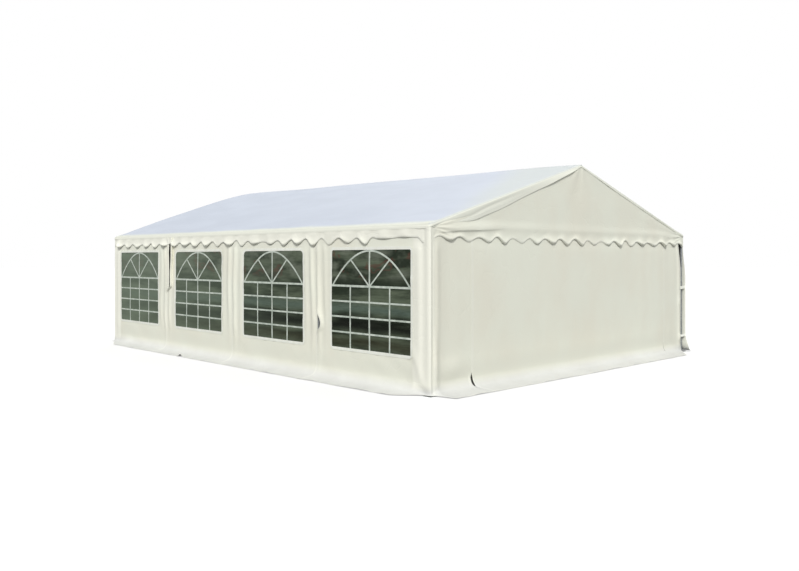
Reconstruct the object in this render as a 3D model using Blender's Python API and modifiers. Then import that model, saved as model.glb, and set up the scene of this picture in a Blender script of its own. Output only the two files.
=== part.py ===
"""A marquee tent of four bays, 6 m wide and 8 m long, with its steel tube frame and its fabric covers.

+X runs along the ridge, +Z is up, and the origin is on the ground under the middle of the ridge.
The front long wall faces -Y and the right gable end faces +X. All sizes are metres.
"""

import math

import bmesh
import bpy
from mathutils import Matrix, Vector

# Driving dimensions of the tent
WIDTH = 6.0
LENGTH = 8.0
BAYS = 4
EAVE_HEIGHT = 1.9
RIDGE_HEIGHT = 2.8

# Fabric and film
FABRIC = 0.003
FILM = 0.001
GAP = 0.0003

# Steel tubes and their connectors
TUBE_RADIUS = 0.019
SLEEVE_RADIUS = 0.0215
STUB_LENGTH = 0.10
FORKED_STUB_LENGTH = 0.16
TUBE_SIDES = 16
FOOT_SIZE = 0.12
FOOT_THICK = 0.004
PAD_LENGTH = 0.06
PAD_WIDTH = 0.04
PAD_RISE = 0.004

# Scalloped valance, which hangs from the eaves and across the gables
SCALLOP_PITCH = 1 / 3
SCALLOP_STEPS = 8
SCALLOP_SWING = 0.04
VALANCE_DROP = 0.18

# Wall panels with their ground skirts
PANEL_TOP = 1.86
PANEL_SIDE_GAP = 0.01
SKIRT_FOLD_HEIGHT = 0.13
SKIRT_BEND_REACH = 0.06
SKIRT_BEND_HEIGHT = 0.035
SKIRT_REACH = 0.28
SKIRT_HEM_HEIGHT = 0.005
CORNER_INSET = 0.015
ZIP_INSET = 0.683
ZIP_GAP = 0.005
ZIP_TOP = 1.75

# Windows in the long walls
WINDOW_WIDTH = 1.40
WINDOW_BOTTOM = 0.42
WINDOW_TOP = 1.62
WINDOW_CORNER = 0.03
FILM_LAP = 0.025

# A window's cutter reaches well past both faces of the fabric
CUT_DEPTH = 0.06

# Values worked out from the sizes above
SLOPE = (RIDGE_HEIGHT - EAVE_HEIGHT) / (WIDTH / 2)
PITCH = math.atan(SLOPE)
BAY = LENGTH / BAYS
VALANCE_FACE = FABRIC + GAP
TUBE_SETBACK = 2 * VALANCE_FACE + SLEEVE_RADIUS
ROOF_DROP = (FABRIC + GAP + SLEEVE_RADIUS) / math.cos(PITCH)
LEG_Y = WIDTH / 2 - TUBE_SETBACK
END_X = LENGTH / 2 - TUBE_SETBACK
FRAME_X = [-END_X] + [BAY * k - LENGTH / 2 for k in range(1, BAYS)] + [END_X]
EAVE_Z = EAVE_HEIGHT + SLOPE * TUBE_SETBACK - ROOF_DROP
RIDGE_Z = RIDGE_HEIGHT - ROOF_DROP
LEG_TOP = EAVE_Z - STUB_LENGTH - GAP

# Quarter turns that bring a wall drawn facing -Y to each side of the tent
WALL_TURNS = {"front": 0.0, "right": math.pi / 2, "back": math.pi, "left": -math.pi / 2}


def clear_scene():
    for thing in list(bpy.data.objects):
        bpy.data.objects.remove(thing, do_unlink=True)


def new_collection(name):
    made = bpy.data.collections.new(name)
    bpy.context.scene.collection.children.link(made)
    return made


def make_material(name, colour, roughness, metallic=0.0, alpha=1.0):
    made = bpy.data.materials.new(name)
    made.use_nodes = True
    shader = made.node_tree.nodes["Principled BSDF"]
    shader.inputs["Base Color"].default_value = (*colour, 1.0)
    shader.inputs["Roughness"].default_value = roughness
    shader.inputs["Metallic"].default_value = metallic
    shader.inputs["Alpha"].default_value = alpha
    return made


clear_scene()
TENT = new_collection("marquee_tent")
CUTTERS = new_collection("cutters")
STEEL = make_material("frame_steel", (0.55, 0.57, 0.58), 0.45, metallic=0.9)
ROOF = make_material("roof_fabric", (0.80, 0.84, 0.90), 0.55)
WALL = make_material("wall_fabric", (0.85, 0.85, 0.77), 0.60)
CLEAR = make_material("window_film", (0.16, 0.21, 0.18), 0.12, alpha=0.6)


def place(name, data, material, matrix, collection=TENT):
    made = bpy.data.objects.new(name, data)
    collection.objects.link(made)
    made.matrix_world = matrix
    if material and not data.materials:
        data.materials.append(material)
    return made


def as_helper(thing):
    """Hides a cutter or a piece that only joins another one."""
    thing.hide_render = True
    thing.display_type = "WIRE"
    return thing


def mesh_from(bm, name):
    bmesh.ops.recalc_face_normals(bm, faces=bm.faces)
    data = bpy.data.meshes.new(name)
    bm.to_mesh(data)
    bm.free()
    return data


def rod_mesh(name, length, radius, sides=TUBE_SIDES):
    bm = bmesh.new()
    bmesh.ops.create_cone(
        bm, cap_ends=True, segments=sides, radius1=radius, radius2=radius, depth=length
    )
    data = mesh_from(bm, name)
    data.shade_smooth()
    data.set_sharp_from_angle(angle=math.radians(40))
    return data


def rod(name, start, end, radius, collection=TENT):
    """A round bar between two points."""
    start = Vector(start)
    end = Vector(end)
    along = end - start
    turn = along.to_track_quat("Z", "Y").to_matrix().to_4x4()
    data = rod_mesh(name, along.length, radius)
    return place(name, data, STEEL, Matrix.Translation((start + end) / 2) @ turn, collection)


def box_mesh(name, size):
    bm = bmesh.new()
    bmesh.ops.create_cube(bm, size=1.0, matrix=Matrix.Diagonal((*size, 1.0)))
    return mesh_from(bm, name)


def join_by_union(base, pieces):
    """Fuses the pieces into the base with one Boolean over their own collection."""
    group = bpy.data.collections.new(base.name + "_fused")
    CUTTERS.children.link(group)
    for piece in pieces:
        for holder in list(piece.users_collection):
            holder.objects.unlink(piece)
        group.objects.link(as_helper(piece))
    fuse = base.modifiers.new("fuse", "BOOLEAN")
    fuse.operation = "UNION"
    fuse.operand_type = "COLLECTION"
    fuse.collection = group
    fuse.solver = "EXACT"


def outline_solid(name, outline, thickness, material, matrix):
    """A flat closed outline in its own XY plane, made a plate of the given thickness about that plane."""
    curve = bpy.data.curves.new(name, "CURVE")
    curve.dimensions = "2D"
    curve.fill_mode = "BOTH"
    curve.extrude = thickness / 2
    line = curve.splines.new("POLY")
    line.points.add(len(outline) - 1)
    for point, (x, y) in zip(line.points, outline):
        point.co = (x, y, 0.0, 1.0)
    line.use_cyclic_u = True
    return place(name, curve, material, matrix)


def slope_direction(side):
    """Unit vector from the eave up to the ridge, for the front (-1) or the back (+1) slope."""
    return Vector((0.0, -side * math.cos(PITCH), math.sin(PITCH)))


def slope_normal(side):
    """Unit vector out of the roof, for the front (-1) or the back (+1) slope."""
    return Vector((0.0, side * math.sin(PITCH), math.cos(PITCH)))


# Frame of steel tubes


def leg(name, x, y):
    """A leg tube welded to its square foot plate."""
    tube = rod(name, (x, y, FOOT_THICK / 2), (x, y, LEG_TOP), TUBE_RADIUS)
    plate = place(
        name + "_plate",
        box_mesh(name + "_plate", (FOOT_SIZE, FOOT_SIZE, FOOT_THICK)),
        STEEL,
        Matrix.Translation((x, y, FOOT_THICK / 2)),
    )
    join_by_union(tube, [plate])


def purlin_line(name, y, z, stubs_at):
    """A line of tubes from gable to gable, with a sleeve at each frame and the stubs that its connectors hold out."""
    line = rod(name, (-END_X, y, z), (END_X, y, z), TUBE_RADIUS)
    pieces = []
    for number, x in enumerate(FRAME_X, start=1):
        low = -SLEEVE_RADIUS if number == 1 else -STUB_LENGTH
        high = SLEEVE_RADIUS if number == len(FRAME_X) else STUB_LENGTH
        sleeve = f"{name}_sleeve_{number}"
        pieces.append(rod(sleeve, (x + low, y, z), (x + high, y, z), SLEEVE_RADIUS))
        hub = Vector((x, y, z))
        for count, reach in enumerate(stubs_at(number), start=1):
            pieces.append(rod(f"{name}_stub_{number}_{count}", hub, hub + reach, SLEEVE_RADIUS))
    join_by_union(line, pieces)


def eave_stubs(side):
    """The stubs of an eave connector: for the leg, for the rafter and, at the gables, for the end bar."""

    def at(number):
        found = [Vector((0.0, 0.0, -STUB_LENGTH)), slope_direction(side) * FORKED_STUB_LENGTH]
        if number in (1, len(FRAME_X)):
            found.append(Vector((0.0, -side * FORKED_STUB_LENGTH, 0.0)))
        return found

    return at


def ridge_stubs(_):
    return [-slope_direction(side) * STUB_LENGTH for side in (-1, 1)]


def rafter(name, x, side):
    """A rafter tube, butting on the stubs of its eave and ridge connectors."""
    up = slope_direction(side)
    low = Vector((x, side * LEG_Y, EAVE_Z)) + up * (FORKED_STUB_LENGTH + GAP)
    high = Vector((x, 0.0, RIDGE_Z)) - up * (STUB_LENGTH + GAP)
    rod(name, low, high, TUBE_RADIUS)


def mid_purlin(name, side):
    """A line of tubes clamped under the rafters at mid slope, with a saddle pad under each rafter."""
    middle = Vector((0.0, side * LEG_Y / 2, (EAVE_Z + RIDGE_Z) / 2))
    centre = middle - slope_normal(side) * (2 * TUBE_RADIUS + PAD_RISE + GAP)
    line = rod(name, centre - Vector((END_X, 0, 0)), centre + Vector((END_X, 0, 0)), TUBE_RADIUS)
    pieces = []
    for number, x in enumerate(FRAME_X, start=1):
        size = (PAD_WIDTH, PAD_LENGTH, TUBE_RADIUS + PAD_RISE)
        lift = slope_normal(side) * (TUBE_RADIUS + PAD_RISE) / 2
        spot = Matrix.Translation(Vector((x, centre.y, centre.z)) + lift)
        tilt = Matrix.Rotation(-side * PITCH, 4, "X")
        pad = f"{name}_pad_{number}"
        pieces.append(place(pad, box_mesh(pad, size), STEEL, spot @ tilt))
    join_by_union(line, pieces)


def end_bar(name, x):
    """The level tube across a gable end, between the stubs of its two corner connectors."""
    reach = LEG_Y - FORKED_STUB_LENGTH - GAP
    rod(name, (x, -reach, EAVE_Z), (x, reach, EAVE_Z), TUBE_RADIUS)


def build_frame():
    for side, word in ((-1, "front"), (1, "back")):
        purlin_line(f"{word}_eave_purlin", side * LEG_Y, EAVE_Z, eave_stubs(side))
        mid_purlin(f"{word}_mid_purlin", side)
        for number, x in enumerate(FRAME_X, start=1):
            leg(f"{word}_leg_{number}", x, side * LEG_Y)
            rafter(f"{word}_rafter_{number}", x, side)
    purlin_line("ridge_purlin", 0.0, RIDGE_Z, ridge_stubs)
    end_bar("left_end_bar", -END_X)
    end_bar("right_end_bar", END_X)


# Roof cover, gables and valances


def roof_slope(name, side):
    """One slope of the roof cover, as a thin section run from gable to gable."""
    depth = FABRIC / math.cos(PITCH)
    eave = side * WIDTH / 2
    ridge = side * GAP / 2
    ridge_top = RIDGE_HEIGHT - SLOPE * abs(ridge)
    section = [
        (eave, EAVE_HEIGHT),
        (ridge, ridge_top),
        (ridge, ridge_top - depth),
        (eave, EAVE_HEIGHT - depth),
    ]
    along_ridge = Matrix.Rotation(math.pi / 2, 4, "Z") @ Matrix.Rotation(math.pi / 2, 4, "X")
    outline_solid(name, section, LENGTH, ROOF, along_ridge)


def scalloped_edge(half_span):
    """Points of the valance's wavy lower edge, from the left end to the right one."""
    count = round(2 * half_span / SCALLOP_PITCH) * SCALLOP_STEPS
    middle = EAVE_HEIGHT - VALANCE_DROP
    points = []
    for step in range(count + 1):
        x = half_span * (2 * step / count - 1)
        turn = 2 * math.pi * step / SCALLOP_STEPS
        points.append((x, middle + SCALLOP_SWING * math.cos(turn)))
    return points


def upright(turn, distance):
    """Stands a flat outline up as a sheet facing out of the tent, its middle at that distance from the origin."""
    face = Matrix.Translation((0.0, -distance, 0.0)) @ Matrix.Rotation(math.pi / 2, 4, "X")
    return Matrix.Rotation(turn, 4, "Z") @ face


def valance(name, turn):
    """The scalloped strip that hangs along an eave, between the two gable sheets."""
    half = LENGTH / 2 - VALANCE_FACE
    top = EAVE_HEIGHT - FABRIC / math.cos(PITCH) - GAP
    outline = scalloped_edge(half) + [(half, top), (-half, top)]
    outline_solid(name, outline, FABRIC, ROOF, upright(turn, WIDTH / 2 - FABRIC / 2))


def gable(name, turn):
    """The triangular end of the roof cover, with its own scalloped valance."""
    half = WIDTH / 2
    drop = (FABRIC + GAP) / math.cos(PITCH)
    outline = scalloped_edge(half)
    outline += [(half, EAVE_HEIGHT - drop), (0.0, RIDGE_HEIGHT - drop), (-half, EAVE_HEIGHT - drop)]
    outline_solid(name, outline, FABRIC, WALL, upright(turn, LENGTH / 2 - FABRIC / 2))


def build_cover():
    roof_slope("roof_cover_front", -1)
    roof_slope("roof_cover_back", 1)
    valance("front_valance", WALL_TURNS["front"])
    valance("back_valance", WALL_TURNS["back"])
    gable("right_gable", WALL_TURNS["right"])
    gable("left_gable", WALL_TURNS["left"])


# Wall panels and windows


def panel(name, turn, distance, low_x, high_x):
    """A hanging wall panel that bends out at its foot into a skirt, which lies out over the ground."""
    bm = bmesh.new()
    profile = [
        (-distance, PANEL_TOP),
        (-distance, SKIRT_FOLD_HEIGHT),
        (-distance - SKIRT_BEND_REACH, SKIRT_BEND_HEIGHT),
        (-distance - SKIRT_REACH, SKIRT_HEM_HEIGHT),
    ]
    points = [bm.verts.new((low_x, y, z)) for y, z in profile]
    edges = [bm.edges.new(pair) for pair in zip(points, points[1:])]
    grown = bmesh.ops.extrude_edge_only(bm, edges=edges)["geom"]
    moved = [item for item in grown if isinstance(item, bmesh.types.BMVert)]
    bmesh.ops.translate(bm, verts=moved, vec=(high_x - low_x, 0.0, 0.0))
    data = mesh_from(bm, name)
    if data.polygons[0].normal.y > 0:
        data.flip_normals()
    made = place(name, data, WALL, Matrix.Rotation(turn, 4, "Z"))
    thicken = made.modifiers.new("thickness", "SOLIDIFY")
    thicken.thickness = FABRIC
    thicken.offset = -1.0
    thicken.use_even_offset = True
    return made


def cut_from(wall, cutter):
    cut = wall.modifiers.new(cutter.name, "BOOLEAN")
    cut.operation = "DIFFERENCE"
    cut.object = cutter
    cut.solver = "EXACT"


def window_cutter(name, centre_x, distance, turn):
    """A block with rounded upright corners, the size of the window."""
    bm = bmesh.new()
    size = (WINDOW_WIDTH, CUT_DEPTH, WINDOW_TOP - WINDOW_BOTTOM)
    bmesh.ops.create_cube(bm, size=1.0, matrix=Matrix.Diagonal((*size, 1.0)))
    across = [e for e in bm.edges if abs((e.verts[0].co - e.verts[1].co).y) > FABRIC]
    bmesh.ops.bevel(
        bm, geom=across, offset=WINDOW_CORNER, segments=4, profile=0.5, affect="EDGES", material=-1
    )
    data = mesh_from(bm, name)
    spot = Matrix.Translation((centre_x, -distance, (WINDOW_TOP + WINDOW_BOTTOM) / 2))
    return as_helper(place(name, data, None, Matrix.Rotation(turn, 4, "Z") @ spot, CUTTERS))


def window_wall(side, number):
    """A bay's wall panel with its window cut through, and the clear film behind the opening."""
    turn = WALL_TURNS[side]
    distance = WIDTH / 2 - VALANCE_FACE
    centre = BAY * (number - 0.5) - LENGTH / 2
    reach = (BAY - PANEL_SIDE_GAP) / 2
    wall = panel(f"{side}_wall_panel_{number}", turn, distance, centre - reach, centre + reach)
    cut_from(wall, window_cutter(f"{side}_window_cutter_{number}", centre, distance, turn))
    behind = distance - FABRIC - GAP - FILM / 2
    size = (WINDOW_WIDTH + 2 * FILM_LAP, FILM, WINDOW_TOP - WINDOW_BOTTOM + 2 * FILM_LAP)
    spot = Matrix.Translation((centre, -behind, (WINDOW_TOP + WINDOW_BOTTOM) / 2))
    name = f"{side}_window_film_{number}"
    place(name, box_mesh(name, size), CLEAR, Matrix.Rotation(turn, 4, "Z") @ spot)


def end_wall(side):
    """A gable end's wall, with the slits of two door zips that open it from the hem up."""
    turn = WALL_TURNS[side]
    distance = LENGTH / 2 - VALANCE_FACE
    corner = WIDTH / 2 - CORNER_INSET
    wall = panel(f"{side}_end_wall", turn, distance, -corner, corner)
    for number, x in enumerate((ZIP_INSET - WIDTH / 2, WIDTH / 2 - ZIP_INSET), start=1):
        name = f"{side}_zip_cutter_{number}"
        slit = box_mesh(name, (ZIP_GAP, 3 * SKIRT_REACH, 2 * ZIP_TOP))
        spot = Matrix.Rotation(turn, 4, "Z") @ Matrix.Translation((x, -distance, 0.0))
        cut_from(wall, as_helper(place(name, slit, None, spot, CUTTERS)))


def build_walls():
    for side in ("front", "back"):
        for number in range(1, BAYS + 1):
            window_wall(side, number)
    for side in ("right", "left"):
        end_wall(side)


build_frame()
build_cover()
build_walls()
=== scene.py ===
"""Dresses the marquee tent: roof cover, valances, gables, walls, windows, ties and the steel's finish."""

import bisect
from math import atan2, copysign, cos, exp, hypot, pi, radians, sin

import bmesh
import bpy
from mathutils import Matrix, Vector, noise


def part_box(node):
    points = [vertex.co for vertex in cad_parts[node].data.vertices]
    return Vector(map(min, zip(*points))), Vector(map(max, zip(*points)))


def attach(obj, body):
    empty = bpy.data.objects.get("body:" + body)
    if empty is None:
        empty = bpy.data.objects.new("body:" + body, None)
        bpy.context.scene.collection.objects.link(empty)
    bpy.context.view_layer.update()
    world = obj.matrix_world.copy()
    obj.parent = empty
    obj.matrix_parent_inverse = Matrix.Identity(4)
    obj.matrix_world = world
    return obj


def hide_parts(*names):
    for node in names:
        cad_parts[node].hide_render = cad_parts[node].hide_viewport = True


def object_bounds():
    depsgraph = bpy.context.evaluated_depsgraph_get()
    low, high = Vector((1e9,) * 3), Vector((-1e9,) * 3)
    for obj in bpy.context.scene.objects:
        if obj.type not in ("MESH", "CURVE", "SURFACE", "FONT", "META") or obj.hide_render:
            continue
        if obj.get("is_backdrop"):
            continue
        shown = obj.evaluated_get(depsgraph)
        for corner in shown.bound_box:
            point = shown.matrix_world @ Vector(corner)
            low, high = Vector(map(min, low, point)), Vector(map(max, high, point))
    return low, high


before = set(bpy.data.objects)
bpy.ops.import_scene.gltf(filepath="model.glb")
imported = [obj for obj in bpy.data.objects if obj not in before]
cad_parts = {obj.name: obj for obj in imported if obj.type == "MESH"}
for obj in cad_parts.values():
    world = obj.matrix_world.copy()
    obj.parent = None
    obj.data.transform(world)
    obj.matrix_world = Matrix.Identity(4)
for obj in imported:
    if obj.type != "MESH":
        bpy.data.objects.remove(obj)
cad_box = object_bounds()


def middle_of(name, axis):
    """The middle of a solid along one axis, to a tenth of a millimetre."""
    low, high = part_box(name)
    return round((low[axis] + high[axis]) / 2, 4)


# Sizes in metres, read from the solids where they give them
HALF_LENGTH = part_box("right_gable")[1].x
HALF_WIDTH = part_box("right_gable")[1].y
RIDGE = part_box("roof_cover_front")[1].z
EAVE = 1.9
SLOPE = (RIDGE - EAVE) / HALF_WIDTH
SLOPE_STRETCH = hypot(1.0, SLOPE)
BAY = HALF_LENGTH / 2
JOINTS = [BAY * k for k in range(-2, 3)]
END_X = middle_of("front_leg_5", 0)
LEG_Y = -middle_of("front_leg_5", 1)
END_BAR_Z = middle_of("right_end_bar", 2)

CLOTH = 0.0012  # thickness of the roof and the walls
FILM = 0.0006
TRIM = 0.0008  # thickness of the zips' flaps and tapes
WEBBING = 0.0014  # thickness of the ties
HEM = 0.034  # width of the turned and stitched edge
HEM_STEP = 0.002  # over which the doubled edge thins to single cloth

# The outer faces of the cloth: distances from the tent's middle
WALL_PLANE = 2.9957
VALANCE_PLANE = 2.9988
GABLE_PLANE = 3.9968
END_PLANE = HALF_LENGTH - HALF_WIDTH + WALL_PLANE

WALL_TOP = 1.858
PITCH = 1 / 3  # from one scallop to the next
WINDOW_HALF = 0.70
WINDOW_LOW, WINDOW_HIGH = 0.42, 1.62
SKIRT_REACH = 0.28


# Small tools


def ease(low, high, value):
    """0 below low, 1 above high, and a soft step between them."""
    t = min(max((value - low) / (high - low), 0.0), 1.0)
    return t * t * (3 - 2 * t)


def hump(value, middle, width):
    """1 at the middle, falling away like a bell on both sides."""
    return exp(-(((value - middle) / width) ** 2))


def bulge(share):
    """Rises quickly from 0 to 1 at a share of 1, and falls slowly after it."""
    return share * exp(1 - share)


def drift(x, y, seed, long=1.0, tall=1.0):
    """A soft irregular value, about -0.7 to 0.7, that changes over the given lengths."""
    return noise.noise(Vector((x / long, y / tall, seed)))


def spaced(start, *spans):
    """Distances along a sheet, from its start over spans of (end, number of steps)."""
    found = [start]
    for end, steps in spans:
        found += [start + (end - start) * k / steps for k in range(1, steps + 1)]
        start = end
    return found


def mirrored(*spans):
    """Distances over these spans on both sides of the middle."""
    half = spaced(0.0, *spans)
    return [-distance for distance in half[:0:-1]] + half


def rounded(points, times):
    """A path with its corners cut off again and again, so that it runs smoothly."""
    points = [Vector(p) for p in points]
    for _ in range(times):
        cut = [points[0]]
        for one, two in zip(points, points[1:]):
            cut += [one.lerp(two, 0.25), one.lerp(two, 0.75)]
        points = cut + [points[-1]]
    return points


NEARBY = 0.003  # how far each way a path's direction is measured


class Path:
    """A path of points that gives the point at any distance along it."""

    def __init__(self, points):
        self.points = [Vector(p) for p in points]
        self.marks = [0.0]
        for one, two in zip(self.points, self.points[1:]):
            self.marks.append(self.marks[-1] + (two - one).length)
        self.length = self.marks[-1]

    def at(self, distance):
        distance = min(max(distance, 0.0), self.length)
        after = min(bisect.bisect_right(self.marks, distance), len(self.marks) - 1)
        start, end = self.marks[after - 1], self.marks[after]
        share = (distance - start) / max(end - start, 1e-9)
        return self.points[after - 1].lerp(self.points[after], share)

    def side(self, distance):
        """The direction across the path, to its left."""
        step = self.at(distance + NEARBY) - self.at(distance - NEARBY)
        return Vector((-step.y, step.x)).normalized()


def finished(name, shape, finish, thickness, turn):
    """Makes the piece from its bmesh, gives the cloth its thickness and joins the piece to the frame."""
    if turn:
        bmesh.ops.rotate(shape, verts=shape.verts[:], matrix=Matrix.Rotation(turn, 3, "Z"))
    mesh = bpy.data.meshes.new(name)
    shape.to_mesh(mesh)
    shape.free()
    piece = bpy.data.objects.new(name, mesh)
    bpy.context.scene.collection.objects.link(piece)
    mesh.materials.append(finish.material)
    wall = piece.modifiers.new("thickness", "SOLIDIFY")
    wall.thickness = thickness
    wall.offset = -1
    wall.use_even_offset = False
    bpy.context.view_layer.update()
    solid = bpy.data.meshes.new_from_object(piece.evaluated_get(bpy.context.evaluated_depsgraph_get()))
    piece.modifiers.clear()
    piece.data = solid
    bpy.data.meshes.remove(mesh)
    solid.name = name
    solid.shade_smooth()
    solid.set_sharp_from_angle(angle=radians(50))
    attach(piece, "root")
    return piece


def cut_sheet(across, up, place, holes=()):
    """A flat sheet with grid lines at these distances, less its holes; place(a, b) carries each point."""
    shape = bmesh.new()
    flat_map = shape.loops.layers.uv.new("flat")
    hem_map = shape.verts.layers.float.new("hem")
    columns, rows = len(across) - 1, len(up) - 1
    bmesh.ops.create_grid(shape, x_segments=columns, y_segments=rows, size=0.5)
    for vert in shape.verts:
        a = across[round((vert.co.x + 0.5) * columns)]
        b = up[round((vert.co.y + 0.5) * rows)]
        vert.co = (a, b, 0.0)
        vert[hem_map] = min(a - across[0], across[-1] - a, b - up[0], up[-1] - b)
    cut = []
    for face in shape.faces:
        for loop in face.loops:
            loop[flat_map].uv = loop.vert.co.xy
        middle = face.calc_center_median()
        if any(left < middle.x < right and low < middle.y < high for left, right, low, high in holes):
            cut.append(face)
    bmesh.ops.delete(shape, geom=cut, context="FACES")
    for vert in shape.verts:
        vert.co = place(vert.co.x, vert.co.y)
    return shape


def strip(path, width, steps, place, closed=False, inward=False):
    """A narrow strip along a flat path; place(x, z) carries each point on to the cloth below it.

    The thickness that it gets later grows outward, or inward.
    """

    def onto(along, over):
        turned_at = min(max(along, NEARBY), path.length - NEARBY) if closed else along
        point = path.at(along) + path.side(turned_at) * over
        return place(point.x, point.y)

    shape = cut_sheet(spaced(0.0, (path.length, steps)), [-width / 2, 0.0, width / 2], onto)
    if closed:
        bmesh.ops.remove_doubles(shape, verts=shape.verts[:], dist=0.0004)
    if not inward:
        bmesh.ops.reverse_faces(shape, faces=shape.faces[:])
    return shape


def joined(shapes):
    """One bmesh that holds all of the shapes."""
    whole = shapes[0]
    for other in shapes[1:]:
        passing = bpy.data.meshes.new("passing")
        other.to_mesh(passing)
        other.free()
        whole.from_mesh(passing)
        bpy.data.meshes.remove(passing)
    return whole


# Finishes


class Shade:
    """A value in a finish. An expression on it adds its Math nodes."""

    def __init__(self, finish, socket):
        self.finish, self.socket = finish, socket

    def _math(self, operation, *values):
        return self.finish.node("ShaderNodeMath", {"operation": operation}, dict(enumerate(values)))

    def __add__(self, other):
        return self._math("ADD", self, other)

    __radd__ = __add__

    def __sub__(self, other):
        return self._math("SUBTRACT", self, other)

    def __rsub__(self, other):
        return self._math("SUBTRACT", other, self)

    def __mul__(self, other):
        return self._math("MULTIPLY", self, other)

    __rmul__ = __mul__

    def __gt__(self, other):
        return self._math("GREATER_THAN", self, other)

    def __lt__(self, other):
        return self._math("LESS_THAN", self, other)

    def size(self):
        return self._math("ABSOLUTE", self)

    def sine(self):
        return self._math("SINE", self)

    def soft(self, low, high):
        """0 at low, 1 at high, with a soft step between them."""
        settings = {"interpolation_type": "SMOOTHSTEP"}
        inputs = {"Value": self, "From Min": low, "From Max": high}
        return self.finish.node("ShaderNodeMapRange", settings, inputs)

    def near(self, value, width):
        """1 at the value, falling softly to 0 at the width on both sides."""
        return 1 - (self - value).size().soft(0.0, width)


def open_socket(sockets, key):
    """A node's socket by its number, or the one in use that has this name."""
    return sockets[key] if isinstance(key, int) else next(s for s in sockets if s.name == key and s.enabled)


class Tree:
    """A node tree in which each node is added with its settings and inputs in one call."""

    def __init__(self, owner):
        owner.use_nodes = True
        self.nodes, self.links = owner.node_tree.nodes, owner.node_tree.links
        self.nodes.clear()

    def feed(self, socket, value):
        if isinstance(value, Shade):
            self.links.new(value.socket, socket)
        else:
            socket.default_value = value

    def node(self, kind, settings=None, inputs=None, out=0):
        made = self.nodes.new(kind)
        for key, value in (settings or {}).items():
            setattr(made, key, value)
        for key, value in (inputs or {}).items():
            self.feed(open_socket(made.inputs, key), value)
        return Shade(self, open_socket(made.outputs, out)) if len(made.outputs) else None


class Finish(Tree):
    """A material built of nodes around one Principled shader."""

    def __init__(self, name, **sockets):
        self.material = bpy.data.materials.new(name)
        super().__init__(self.material)
        surface = self.node("ShaderNodeBsdfPrincipled")
        self.shader = surface.socket.node
        self.node("ShaderNodeOutputMaterial", inputs={"Surface": surface})
        for socket, value in sockets.items():
            self.give(socket.replace("_", " "), value)

    def give(self, socket, value):
        self.feed(self.shader.inputs[socket], value)

    def measure(self, where, axis):
        """A place whole, or its distance along one axis."""
        if axis is None:
            return where
        return self.node("ShaderNodeSeparateXYZ", inputs={"Vector": where}, out=axis)

    def place(self, axis=None):
        """Where the point is on the tent, in metres."""
        return self.measure(self.node("ShaderNodeTexCoord", out="Object"), axis)

    def flat(self, axis=None):
        """Where the point is on the flat cloth, in metres."""
        return self.measure(self.node("ShaderNodeUVMap", {"uv_map": "flat"}), axis)

    def hem(self):
        """The distance to the sheet's nearest edge, in metres."""
        return self.node("ShaderNodeAttribute", {"attribute_name": "hem"}, out="Fac")

    def scaled(self, where, scale):
        return self.node("ShaderNodeMapping", inputs={"Vector": where, "Scale": scale})

    def grain(self, where, scale, detail=2.0, rough=0.5):
        inputs = {"Vector": where, "Scale": scale, "Detail": detail, "Roughness": rough}
        return self.node("ShaderNodeTexNoise", inputs=inputs)

    def mixed(self, share, one, two):
        inputs = {"Factor": share, "A": one, "B": two}
        return self.node("ShaderNodeMix", {"data_type": "RGBA"}, inputs, out="Result")

    def paint(self, colour, *coats):
        """The base colour, with each (share, colour) laid over it in turn."""
        for share, other in coats:
            colour = self.mixed(share, colour, other)
        self.give("Base Color", colour)

    def bump(self, height):
        """Fine relief, with its height in metres."""
        inputs = {"Height": height, "Distance": 1.0, "Strength": 1.0}
        self.give("Normal", self.node("ShaderNodeBump", inputs=inputs))


def rgb(red, green, blue):
    """A colour as a screen shows it, from 0 to 255, made linear."""

    def linear(value):
        value /= 255
        return value / 12.92 if value <= 0.04045 else ((value + 0.055) / 1.055) ** 2.4

    return linear(red), linear(green), linear(blue), 1.0


STITCH = 0.007  # from one stitch to the next


def cloth_relief(finish, crumple=0.5, shown=1.0):
    """Woven grain, soft creases and the stitched hem of coated cloth."""
    flat, hem = finish.flat(), finish.hem()
    weave = finish.grain(flat, 240.0, 2.0)
    crease = finish.grain(finish.scaled(flat, (1.0, 0.45, 1.0)), 5.0, 4.0, 0.55)
    fold = (finish.grain(flat, 1.7, 2.0) - 0.5).size().soft(0.0, 0.012)
    turned = (1 - hem.soft(HEM - 0.001, HEM + 0.001)) * shown
    run = (finish.flat(0) + finish.flat(1)) * (2 * pi / STITCH)
    stitch = hem.near(HEM - 0.006, 0.0016) * (run.sine() > 0.15) * shown
    soft = (crumple * 0.004 * crease + 0.0007 * fold) * shown
    finish.bump(0.00018 * weave + soft + 0.0008 * turned - 0.0012 * stitch)
    return turned, stitch


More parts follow.
